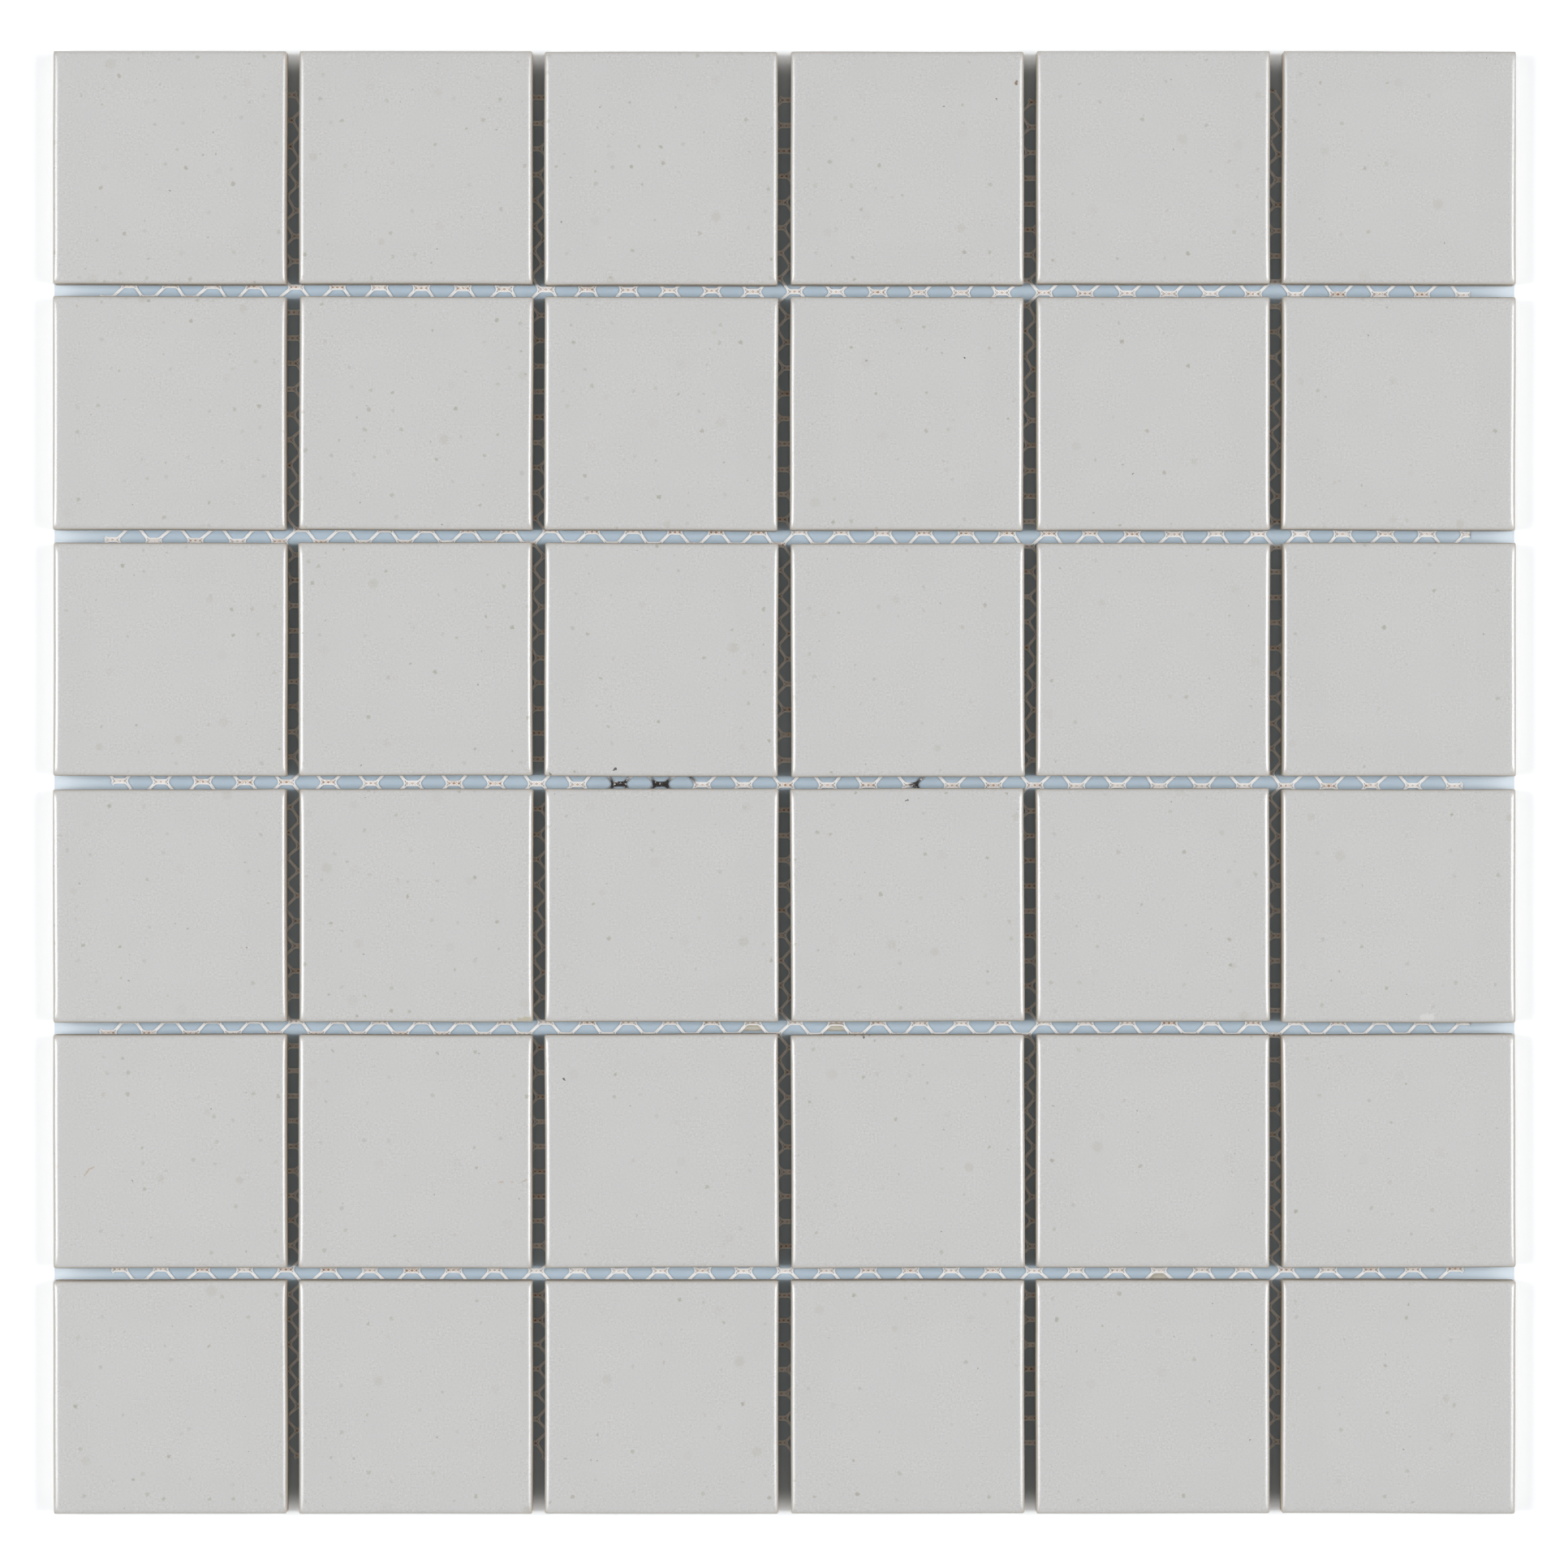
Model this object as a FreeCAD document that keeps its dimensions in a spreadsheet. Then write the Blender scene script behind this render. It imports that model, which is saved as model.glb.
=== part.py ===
import FreeCAD, Part
import math
import os

import Sketcher

# A sheet of square mosaic tiles, glazed face up, held at an even joint by a net on their backs.
# Millimetres, +Z up. The origin is at the middle of the sheet, on the underside of the net.
# +X runs along a row of tiles and +Y from the bottom row to the top row.
# Every tile is pressed and fired as one piece: rounded corners and rim, upright sides, a chamfered back,
# and shallow keying grooves across the back. Adhesive sits in the grooves and bonds the tile to the net.

# Driving sizes: alias, value, what it is.
SIZES = (
    ("tile_side", 48.4, "one tile from side to side"),
    ("tile_thickness", 6.0, "one tile from back to glazed face"),
    ("joint_width", 2.6, "gap between neighbouring tiles"),
    ("tile_columns", 6, "tiles along X"),
    ("tile_rows", 6, "tiles along Y"),
    ("corner_radius", 0.5, "upright corners of a tile"),
    ("rim_radius", 1.1, "round from the glazed face into the sides"),
    ("back_chamfer", 0.4, "chamfer round the back"),
    ("back_border", 4.0, "plain margin round the keying grooves"),
    ("groove_count", 5, "keying grooves on one back, an odd number"),
    ("rib_width", 4.5, "land between two grooves"),
    ("groove_depth", 0.6, "depth of a keying groove"),
    ("net_thickness", 0.4, "net from floor to tile back"),
    ("net_side_margin", 9.0, "how far the tiles reach past the net at each end of a row"),
    ("net_top_margin", 7.5, "how far the tiles reach past the net at +Y"),
    ("net_bottom_margin", 10.5, "how far the tiles reach past the net at -Y"),
    ("dab_length", 9.0, "a dab of adhesive along its groove"),
    ("dab_end_gap", 7.0, "from the end of a groove to the dab nearest it"),
)

# Sizes that follow from the driving ones.
COLUMNS = "round(<<sizes>>.tile_columns)"
ROWS = "round(<<sizes>>.tile_rows)"
TILE_PITCH = "(<<sizes>>.tile_side + <<sizes>>.joint_width)"
SHEET_WIDTH = f"({COLUMNS} * {TILE_PITCH} - <<sizes>>.joint_width)"
SHEET_LENGTH = f"({ROWS} * {TILE_PITCH} - <<sizes>>.joint_width)"
GROOVE_COUNT = "round(<<sizes>>.groove_count)"
GROOVE_LENGTH = "(<<sizes>>.tile_side - 2 * <<sizes>>.back_border)"
GROOVE_PITCH = f"(({GROOVE_LENGTH} + <<sizes>>.rib_width) / {GROOVE_COUNT})"
GROOVE_WIDTH = f"({GROOVE_PITCH} - <<sizes>>.rib_width)"
DAB_END = f"({GROOVE_LENGTH} / 2 - <<sizes>>.dab_end_gap)"
DAB_MIDDLE = f"({DAB_END} - <<sizes>>.dab_length / 2)"

doc = FreeCAD.newDocument("mosaic_sheet")
sheet = doc.addObject("Spreadsheet::Sheet", "sizes")
sheet.Label = "sizes"
for line, (alias, size, note) in enumerate(SIZES, start=1):
    sheet.set(f"A{line}", alias)
    sheet.set(f"B{line}", str(size))
    sheet.set(f"C{line}", note)
    sheet.setAlias(f"B{line}", alias)
doc.recompute()


def value(expression):
    """What an expression of sizes comes to."""
    return float(sheet.evalExpression(expression))


def origin_feature(body, role):
    """One of the body's own origin planes or axes."""
    return next(feature for feature in body.Origin.OriginFeatures if feature.Role == role)


def add_sketch(body, name, role):
    """An empty sketch on one of the body's origin planes."""
    sketch = body.newObject("Sketcher::SketchObject", name)
    sketch.AttachmentSupport = [(origin_feature(body, role), "")]
    sketch.MapMode = "FlatFace"
    return sketch


def add_path(sketch, points):
    """Straight lines from each point to the next, joined end to end, as the first and last line numbers."""
    first = sketch.GeometryCount
    for (x0, y0), (x1, y1) in zip(points, points[1:]):
        sketch.addGeometry(Part.LineSegment(FreeCAD.Vector(x0, y0, 0), FreeCAD.Vector(x1, y1, 0)), False)
    last = sketch.GeometryCount - 1
    for line in range(first, last):
        join(sketch, line, line + 1)
    return first, last


def join(sketch, line, next_line):
    """Where one line ends the next starts."""
    sketch.addConstraint(Sketcher.Constraint("Coincident", line, 2, next_line, 1))


def bind(sketch, name, kind, where, expression):
    """Adds one named dimension and ties it to the sizes."""
    index = sketch.addConstraint(Sketcher.Constraint(kind, *where, value(expression)))
    sketch.renameConstraint(index, name)
    sketch.setExpression(f"Constraints.{name}", expression)


def bind_x(sketch, name, line, end, expression):
    """Holds a point of a line at a distance right of the sketch's origin."""
    bind(sketch, name, "DistanceX", (-1, 1, line, end), expression)


def bind_y(sketch, name, line, end, expression):
    """Holds a point of a line at a distance above the sketch's origin."""
    bind(sketch, name, "DistanceY", (-1, 1, line, end), expression)


def draw_rectangle(sketch, right, top, length, width):
    """A level rectangle, placed by its upper right corner."""
    x1, y1 = value(right), value(top)
    x0, y0 = x1 - value(length), y1 - value(width)
    low, left = add_path(sketch, [(x0, y0), (x1, y0), (x1, y1), (x0, y1), (x0, y0)])
    upright = low + 1
    high = low + 2
    join(sketch, left, low)
    for line in (low, high):
        sketch.addConstraint(Sketcher.Constraint("Horizontal", line))
    for line in (upright, left):
        sketch.addConstraint(Sketcher.Constraint("Vertical", line))
    bind(sketch, "length", "DistanceX", (low, 1, low, 2), length)
    bind(sketch, "width", "DistanceY", (upright, 1, upright, 2), width)
    bind_x(sketch, "right", upright, 2, right)
    bind_y(sketch, "top", upright, 2, top)


def draw_rim_trim(sketch):
    """The waste above the rim's round, seen from the end of one side."""
    middle_x = "<<sizes>>.tile_side / 2 - <<sizes>>.rim_radius"
    middle_y = "<<sizes>>.tile_thickness - <<sizes>>.rim_radius"
    beyond_x = "<<sizes>>.tile_side / 2 + <<sizes>>.rim_radius"
    x0, x1, x2 = value(middle_x), value("<<sizes>>.tile_side / 2"), value(beyond_x)
    y0, y1 = value(middle_y), value("<<sizes>>.tile_thickness")
    top_line, ledge = add_path(sketch, [(x0, y1), (x2, y1), (x2, y0), (x1, y0)])
    circle = Part.Circle(FreeCAD.Vector(x0, y0, 0), FreeCAD.Vector(0, 0, 1), y1 - y0)
    rim = sketch.addGeometry(Part.ArcOfCircle(circle, 0.0, math.pi / 2), False)
    join(sketch, ledge, rim)
    join(sketch, rim, top_line)
    sketch.addConstraint(Sketcher.Constraint("Horizontal", top_line))
    sketch.addConstraint(Sketcher.Constraint("Vertical", top_line + 1))
    sketch.addConstraint(Sketcher.Constraint("Horizontal", ledge))
    sketch.addConstraint(Sketcher.Constraint("Horizontal", rim, 3, rim, 1))
    sketch.addConstraint(Sketcher.Constraint("Vertical", rim, 3, rim, 2))
    bind(sketch, "rim_radius", "Radius", (rim,), "<<sizes>>.rim_radius")
    bind_x(sketch, "rim_middle_x", rim, 3, middle_x)
    bind_y(sketch, "rim_middle_y", rim, 3, middle_y)
    bind_x(sketch, "rim_beyond", top_line, 2, beyond_x)


def draw_chamfer_trim(sketch):
    """The waste below the back chamfer, seen from the end of one side."""
    start_x = "<<sizes>>.tile_side / 2 - <<sizes>>.back_chamfer"
    beyond_x = "<<sizes>>.tile_side / 2 + <<sizes>>.rim_radius"
    x0, x1 = value(start_x), value(beyond_x)
    low_line, slope = add_path(sketch, [(x0, 0.0), (x1, 0.0), (x1, x1 - x0), (x0, 0.0)])
    outer_line = low_line + 1
    join(sketch, slope, low_line)
    sketch.addConstraint(Sketcher.Constraint("PointOnObject", low_line, 1, -1))
    sketch.addConstraint(Sketcher.Constraint("Horizontal", low_line))
    sketch.addConstraint(Sketcher.Constraint("Vertical", outer_line))
    sketch.addConstraint(Sketcher.Constraint("Equal", low_line, outer_line))
    bind_x(sketch, "chamfer_start", low_line, 1, start_x)
    bind_x(sketch, "chamfer_beyond", low_line, 2, beyond_x)


def make_tile(row, column):
    """One pressed tile, in its own place in the sheet. Row 1 is at the top, at +Y, and column 1 at -X."""
    name = f"tile_r{row}_c{column}"
    body = doc.addObject("PartDesign::Body", name)
    body.Label = name

    outline = add_sketch(body, f"{name}_outline", "XY_Plane")
    half_side = "<<sizes>>.tile_side / 2"
    draw_rectangle(outline, half_side, half_side, "<<sizes>>.tile_side", "<<sizes>>.tile_side")
    slab = body.newObject("PartDesign::Pad", f"{name}_slab")
    slab.Profile = outline
    slab.setExpression("Length", "<<sizes>>.tile_thickness")
    doc.recompute([slab])

    upright = [
        f"Edge{number}"
        for number, edge in enumerate(slab.Shape.Edges, start=1)
        if edge.Vertexes[0].Z != edge.Vertexes[1].Z
    ]
    corners = body.newObject("PartDesign::Fillet", f"{name}_corners")
    corners.Base = (slab, upright)
    corners.setExpression("Radius", "<<sizes>>.corner_radius")

    side_profile = add_sketch(body, f"{name}_side_profile", "XZ_Plane")
    draw_rim_trim(side_profile)
    draw_chamfer_trim(side_profile)
    side_trim = body.newObject("PartDesign::Pocket", f"{name}_side_trim")
    side_trim.Profile = side_profile
    side_trim.Type = "ThroughAll"
    side_trim.Midplane = True
    four_sides = body.newObject("PartDesign::PolarPattern", f"{name}_four_sides")
    four_sides.Originals = [side_trim]
    four_sides.Axis = (origin_feature(body, "Z_Axis"), [""])
    four_sides.Angle = 360
    four_sides.Occurrences = 4
    body.Tip = four_sides

    groove_outline = add_sketch(body, f"{name}_groove_outline", "XY_Plane")
    half_length = f"{GROOVE_LENGTH} / 2"
    draw_rectangle(groove_outline, half_length, half_length, GROOVE_LENGTH, GROOVE_WIDTH)
    groove = body.newObject("PartDesign::Pocket", f"{name}_groove")
    groove.Profile = groove_outline
    groove.Reversed = True
    groove.setExpression("Length", "<<sizes>>.groove_depth")
    grooves = body.newObject("PartDesign::LinearPattern", f"{name}_grooves")
    grooves.Originals = [groove]
    grooves.Direction = (groove_outline, ["V_Axis"])
    grooves.Reversed = True
    grooves.setExpression("Length", f"{GROOVE_LENGTH} - {GROOVE_WIDTH}")
    grooves.setExpression("Occurrences", GROOVE_COUNT)
    body.Tip = grooves

    body.setExpression("Placement.Base.x", f"({column} - ({COLUMNS} + 1) / 2) * {TILE_PITCH}")
    body.setExpression("Placement.Base.y", f"(({ROWS} + 1) / 2 - {row}) * {TILE_PITCH}")
    body.setExpression("Placement.Base.z", "<<sizes>>.net_thickness")
    return body


def make_net():
    """The net's true outline and thickness as one closed sheet, without its open knitted cells."""
    net = doc.addObject("Part::Box", "mesh_backing")
    net.Label = "mesh_backing"
    net.setExpression("Length", f"{SHEET_WIDTH} - 2 * <<sizes>>.net_side_margin")
    net.setExpression("Width", f"{SHEET_LENGTH} - <<sizes>>.net_top_margin - <<sizes>>.net_bottom_margin")
    net.setExpression("Height", "<<sizes>>.net_thickness")
    net.setExpression("Placement.Base.x", f"<<sizes>>.net_side_margin - {SHEET_WIDTH} / 2")
    net.setExpression("Placement.Base.y", f"<<sizes>>.net_bottom_margin - {SHEET_LENGTH} / 2")
    return net


def add_dabs(body, name, right, top, steps):
    """A dab of adhesive and its repeats. A step is a sketch axis to go back along, a length and a count."""
    outline = add_sketch(body, f"{name}_outline", "XY_Plane")
    draw_rectangle(outline, right, top, "<<sizes>>.dab_length", GROOVE_WIDTH)
    dab = body.newObject("PartDesign::Pad", name)
    dab.Profile = outline
    dab.setExpression("Length", "<<sizes>>.groove_depth")
    repeats = body.newObject("PartDesign::MultiTransform", f"{name}_repeats")
    repeats.Originals = [dab]
    patterns = []
    for number, (axis, length, count) in enumerate(steps, start=1):
        pattern = doc.addObject("PartDesign::LinearPattern", f"{name}_step_{number}")
        body.addObject(pattern)
        pattern.Direction = (outline, [axis])
        pattern.Reversed = True
        pattern.setExpression("Length", length)
        pattern.setExpression("Occurrences", count)
        patterns.append(pattern)
    repeats.Transformations = patterns
    body.Tip = repeats


def make_adhesive():
    """Adhesive filling stretches of groove under every tile: one dab at its middle and four about it."""
    body = doc.addObject("PartDesign::Body", "adhesive_dabs")
    body.Label = "adhesive_dabs"
    over_sheet = (
        ("H_Axis", f"({COLUMNS} - 1) * {TILE_PITCH}", COLUMNS),
        ("V_Axis", f"({ROWS} - 1) * {TILE_PITCH}", ROWS),
    )
    about_middle = (
        ("H_Axis", f"2 * {DAB_MIDDLE}", "2"),
        ("V_Axis", f"2 * {GROOVE_PITCH}", "2"),
    )
    add_dabs(body, "middle_dab", "<<sizes>>.dab_length / 2", f"{GROOVE_WIDTH} / 2", over_sheet)
    dab_side = f"{GROOVE_PITCH} + {GROOVE_WIDTH} / 2"
    add_dabs(body, "outer_dab", DAB_END, dab_side, about_middle + over_sheet)
    body.setExpression("Placement.Base.x", f"({COLUMNS} - 1) / 2 * {TILE_PITCH}")
    body.setExpression("Placement.Base.y", f"({ROWS} - 1) / 2 * {TILE_PITCH}")
    body.setExpression("Placement.Base.z", "<<sizes>>.net_thickness")
    return body


def check(pieces):
    """Stops the build where a feature failed, a cut took nothing or a piece has no sound shape."""
    failed = [thing.Label for thing in doc.Objects if "Invalid" in thing.State or "Error" in thing.State]
    if failed:
        raise RuntimeError(f"these objects failed: {failed}")
    for cut in doc.findObjects("PartDesign::Pocket"):
        if cut.Shape.Volume >= cut.BaseFeature.Shape.Volume:
            raise RuntimeError(f"{cut.Label} cuts nothing")
    for piece in pieces:
        if piece.Shape.isNull() or not piece.Shape.isValid():
            raise RuntimeError(f"{piece.Label} has no valid shape")


def write(pieces):
    """One STEP file for each piece, named by its label."""
    os.makedirs("parts", exist_ok=True)
    for piece in pieces:
        piece.Shape.exportStep(f"parts/{piece.Label}.step")
        print(f"{piece.Label}: {len(piece.Shape.Solids)} solids, {piece.Shape.Volume:.1f} mm3")


rows = range(1, round(value(ROWS)) + 1)
columns = range(1, round(value(COLUMNS)) + 1)
pieces = [make_tile(row, column) for row in rows for column in columns]
pieces.append(make_net())
pieces.append(make_adhesive())
doc.recompute()
check(pieces)
write(pieces)
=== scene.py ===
import math
import random

import bpy
import numpy as np
from mathutils.geometry import tessellate_polygon
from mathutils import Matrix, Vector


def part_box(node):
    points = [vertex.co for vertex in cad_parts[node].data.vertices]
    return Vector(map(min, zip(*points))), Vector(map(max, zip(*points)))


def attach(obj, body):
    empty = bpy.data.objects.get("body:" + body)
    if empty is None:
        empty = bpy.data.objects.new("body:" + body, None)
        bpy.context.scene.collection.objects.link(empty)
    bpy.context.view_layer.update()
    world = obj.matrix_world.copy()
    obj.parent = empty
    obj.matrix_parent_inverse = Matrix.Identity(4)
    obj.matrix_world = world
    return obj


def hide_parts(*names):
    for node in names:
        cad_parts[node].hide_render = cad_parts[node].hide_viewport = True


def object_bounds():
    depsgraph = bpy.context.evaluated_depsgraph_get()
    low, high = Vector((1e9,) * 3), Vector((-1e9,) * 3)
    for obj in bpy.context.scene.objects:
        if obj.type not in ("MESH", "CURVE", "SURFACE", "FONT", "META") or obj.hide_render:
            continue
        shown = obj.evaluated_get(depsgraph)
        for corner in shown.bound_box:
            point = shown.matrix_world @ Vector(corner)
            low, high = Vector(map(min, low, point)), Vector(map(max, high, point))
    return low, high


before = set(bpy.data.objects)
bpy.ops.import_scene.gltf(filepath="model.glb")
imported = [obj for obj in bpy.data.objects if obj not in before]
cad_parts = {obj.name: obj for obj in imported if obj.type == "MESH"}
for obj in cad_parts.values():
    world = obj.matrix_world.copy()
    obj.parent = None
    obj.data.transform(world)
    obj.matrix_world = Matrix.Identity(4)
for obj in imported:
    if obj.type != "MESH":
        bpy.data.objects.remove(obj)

# A sheet of square glazed tiles on a knitted net, seen from straight above.
# Metres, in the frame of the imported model: +X along a row of tiles, +Y towards the top row, +Z up.

MM = 0.001
ROWS = 6
COLUMNS = 6

cad_low, cad_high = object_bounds()
tile_low, tile_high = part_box("tile_r1_c1")
next_low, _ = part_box("tile_r1_c2")
net_low, net_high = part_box("mesh_backing")
dab_low, dab_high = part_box("adhesive_dabs")

TILE_SIDE = tile_high.x - tile_low.x
TILE_BACK = tile_low.z
TILE_TOP = tile_high.z
TILE_PITCH = next_low.x - tile_low.x

# The photograph's frame: pixels across, and where the middle of the sheet lies in it.
PHOTO_SIDE = 1932
SHEET_MIDDLE_PX = (966.5, 964.2)
# From one tile to the next in pixels, and metres to a pixel, on the plane of the glazed faces.
MODULE_PX = 303.1
PIXEL = TILE_PITCH / MODULE_PX

# Seeds of the three series of random draws.
TILE_SEED = 48
NET_SEED = 306
DAB_SEED = 180
# Where random waves start, in radians.
WAVE_STARTS = (0, 6.3)


# Small helpers for meshes and materials.

def link(thing):
    """Puts an object in the scene."""
    bpy.context.scene.collection.objects.link(thing)
    return thing


def make_piece(name, points, faces, replaced):
    """A smooth mesh that rides on the root and stands for the named CAD nodes."""
    mesh = bpy.data.meshes.new(name)
    mesh.from_pydata([tuple(p) for p in points], [], faces)
    mesh.polygons.foreach_set("use_smooth", [True] * len(mesh.polygons))
    mesh.validate()
    mesh.update()
    piece = link(bpy.data.objects.new(name, mesh))
    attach(piece, "root")
    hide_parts(*replaced)
    return piece


def add(tree, kind, inputs=None, **settings):
    """A shader node with its settings. Its inputs are given as values or as sockets to link from."""
    node = tree.nodes.new(kind)
    for key, setting in settings.items():
        setattr(node, key, setting)
    for key, given in (inputs or {}).items():
        if isinstance(given, bpy.types.NodeSocket):
            tree.links.new(given, node.inputs[key])
        else:
            node.inputs[key].default_value = given
    return node


def new_material(name):
    """A material with an empty node tree and an output node."""
    material = bpy.data.materials.new(name)
    material.use_nodes = True
    tree = material.node_tree
    tree.nodes.clear()
    return material, tree, tree.nodes.new("ShaderNodeOutputMaterial")


def mix(tree, factor, first, second):
    """The colour between two colours."""
    return add(tree, "ShaderNodeMix", {0: factor, 6: first, 7: second}, data_type="RGBA").outputs[2]


def math_node(tree, operation, first, second=0.0, third=0.0):
    """One sum of two or three numbers."""
    inputs = {0: first, 1: second, 2: third}
    return add(tree, "ShaderNodeMath", inputs, operation=operation).outputs[0]


def vector_node(tree, operation, inputs):
    """One sum of vectors."""
    return add(tree, "ShaderNodeVectorMath", inputs, operation=operation)


def ramp(tree, amount, low, high, low_to=0.0, high_to=1.0):
    """A smooth step from low_to to high_to as the amount goes from low to high."""
    inputs = {
        "Value": amount,
        "From Min": low,
        "From Max": high,
        "To Min": low_to,
        "To Max": high_to,
    }
    return add(tree, "ShaderNodeMapRange", inputs, interpolation_type="SMOOTHSTEP").outputs[0]


def noise(tree, place, size, detail=2.0, roughness=0.5):
    """Noise from 0 to 1 whose features are about this size."""
    inputs = {"Vector": place, "Scale": 1.0 / size, "Detail": detail, "Roughness": roughness}
    return add(tree, "ShaderNodeTexNoise", inputs).outputs["Fac"]


def bump(tree, height, distance, strength):
    """The surface's direction, with this relief in it."""
    inputs = {"Height": height, "Distance": distance, "Strength": strength}
    return add(tree, "ShaderNodeBump", inputs).outputs[0]


def spots(tree, place, spacing, smallest, largest, share):
    """Scattered soft spots on a level face, in this share of its cells; most of them are faint."""
    inputs = {"Vector": place, "Scale": 1.0 / spacing, "Randomness": 1.0}
    cells = add(tree, "ShaderNodeTexVoronoi", inputs, voronoi_dimensions="2D")
    chance = add(tree, "ShaderNodeSeparateColor", {"Color": cells.outputs["Color"]})
    radius = ramp(tree, chance.outputs[1], 0.0, 1.0, smallest / spacing, largest / spacing)
    reach = math_node(tree, "DIVIDE", cells.outputs["Distance"], radius)
    spot = ramp(tree, reach, 0.45, 1.0, 1.0, 0.0)
    there = math_node(tree, "LESS_THAN", chance.outputs[0], share)
    few_strong = math_node(tree, "POWER", chance.outputs[2], 2.0)
    strength = math_node(tree, "MULTIPLY_ADD", few_strong, 0.7, 0.3)
    return math_node(tree, "MULTIPLY", math_node(tree, "MULTIPLY", spot, there), strength)


# Materials.

# The glaze: its two greys in soft clouds, and darker and lighter grains.
GLAZE_GREYS = ((0.539, 0.540, 0.543, 1), (0.571, 0.572, 0.575, 1))
CLOUD_SIZE = 9 * MM
GRAIN_DARK = (0.487, 0.488, 0.482, 1)
GRAIN_LIGHT = (0.621, 0.620, 0.621, 1)
GRAIN_SIZE = 0.40 * MM
GRAIN_PATCH_SIZE = 5 * MM
# Specks have ragged outlines: how far their edges wander, and over what length.
WANDER = 0.8 * MM
WANDER_SIZE = 0.45 * MM
# Three kinds of speck: the size of the cells they lie in, the smallest and largest radius, their
# colour and its strength.
PITS = (4.6 * MM, 0.16 * MM, 0.60 * MM, (0.30, 0.29, 0.22, 1), 0.65)
DOTS = (8 * MM, 0.12 * MM, 0.22 * MM, (0.12, 0.12, 0.10, 1), 0.9)
SMUDGES = (15 * MM, 0.5 * MM, 1.5 * MM, (0.40, 0.39, 0.33, 1), 0.35)
# The shares of cells with a dot and with a smudge. Pits crowd in patches of this size, and grow
# fewer to the right, down to this share.
DOT_SHARE = 0.22
SMUDGE_SHARE = 0.7
CROWD_SIZE = 22 * MM
FEWEST_PITS = 0.45
# The thin warm edge, darkened as painted shade along the joints: how far below the face it is in
# full, and where it ends.
EDGE_FULL = 0.55 * MM
EDGE_END = 0.12 * MM
EDGE_TINT_AND_SHADE = (0.48, 0.44, 0.375, 1)
EDGE_STRENGTH = 0.75
# The glaze ends this far down the side, or higher by up to the second length.
GLAZE_REACH = 2.1 * MM
GLAZE_RUN = 1.6 * MM
GLAZE_RUN_SIZE = 2.5 * MM
GLAZE_BORDER = 0.15 * MM
# The fired body under it, its browns darkened with painted shade on the tile sides, and the depths
# of the reliefs in both.
BODY_BROWNS_AND_SHADE = ((0.39, 0.325, 0.255, 1), (0.56, 0.48, 0.39, 1))
SAND_SIZE = 0.35 * MM
PEEL_SIZE = 1.3 * MM
RIPPLE_SIZE = 0.45 * MM
PEEL_DEPTH = 0.012 * MM
SAND_DEPTH = 0.05 * MM

# Marks on the glaze: strokes as x and y of both ends and the half width, all in the photograph's
# pixels, then their colour and its strength.
BLACK_SPECKS_PX = (
    (756.5, 949.2, 758.6, 947.0, 1.4),
    (677.2, 953.2, 678.3, 954.2, 1.2),
    (694.8, 1329.2, 695.2, 1329.6, 1.3),
    (1053, 1275.6, 1072, 1275.2, 1.4),
    (1064, 1277.6, 1064.4, 1278.4, 1.3),
    (1115, 987.0, 1118, 985.0, 0.9),
    (1188.4, 440.6, 1188.8, 441.0, 1.0),
)
BROWN_SPECKS_PX = ((1252.6, 100.6, 1251.6, 104.0, 1.5), (1227.5, 121.8, 1228.0, 122.2, 1.0))
TAN_HAIRS_PX = (
    (614.5, 1457.5, 620.0, 1456.0, 0.9),
    (620.0, 1456.0, 642.0, 1457.0, 0.9),
    (642.0, 1457.0, 648.5, 1453.0, 0.9),
    (104.2, 1448.0, 109.0, 1441.5, 1.1),
    (109.0, 1441.5, 115.5, 1437.5, 1.1),
)
BEIGE_SMEAR_PX = ((621.0, 1257.4, 640.0, 1256.2, 1.3), (640.0, 1256.2, 656.0, 1255.0, 2.8))
PALE_PATCH_PX = ((1753.5, 1254.0, 1763.5, 1253.5, 4.6),)
FACE_MARKS = (
    (BLACK_SPECKS_PX, (0.02, 0.02, 0.02, 1), 0.95),
    (BROWN_SPECKS_PX, (0.16, 0.09, 0.03, 1), 0.85),
    (TAN_HAIRS_PX, (0.40, 0.30, 0.17, 1), 0.6),
    (BEIGE_SMEAR_PX, (0.47, 0.44, 0.32, 1), 0.9),
    (PALE_PATCH_PX, (0.70, 0.70, 0.69, 1), 0.6),
)
# A stroke is full up to the first share of its half width and fades out at the second.
STROKE_FADE = (0.6, 1.2)

# Yarn: its two creams between fibres, and the colours of rusty and of stained yarn.
YARN_CREAMS = ((0.94, 0.955, 0.98, 1), (1.0, 1.0, 1.0, 1))
YARN_RUST = (0.42, 0.22, 0.09, 1)
YARN_BLACK = (0.025, 0.02, 0.018, 1)
FIBRE_SIZE = 0.12 * MM
FIBRE_DEPTH = 0.03 * MM
YARN_PATCH_SIZE = 0.5 * MM

# Dried adhesive: its two milky yellows, and the pocks in its skin.
ADHESIVE_YELLOWS = ((0.70, 0.66, 0.54, 1), (0.86, 0.84, 0.77, 1))
MILK_SIZE = 2.2 * MM
POCK_SIZE = 0.4 * MM
POCK_DEPTH = 0.05 * MM

# The floor is cool under the sheet's middle and lighter within this border of the sheet's edge:
# painted light at the open ends of the joints.
PAINTED_LIGHT_BORDER = 22 * MM
PAINTED_LIGHT_POWER = 1.6
UNDER_MIDDLE = (0.505, 0.62, 0.725, 1)
UNDER_EDGE_PAINTED_LIGHT = (0.735, 0.83, 0.92, 1)
# It turns white just past the edge. At the ends of the vertical joints the white reaches inwards as
# painted light.
WHITE_START = 0.1 * MM
WHITE_END = 0.5 * MM
PAINTED_LIGHT_REACH_IN = 6 * MM
OUTSIDE = (0.90, 0.94, 0.98, 1)
# What is added to the white floor where it is seen straight, so that it shows as plain white; at the
# ends of the vertical joints it is a painted glow.
WHITE_LIFT = 0.3


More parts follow.
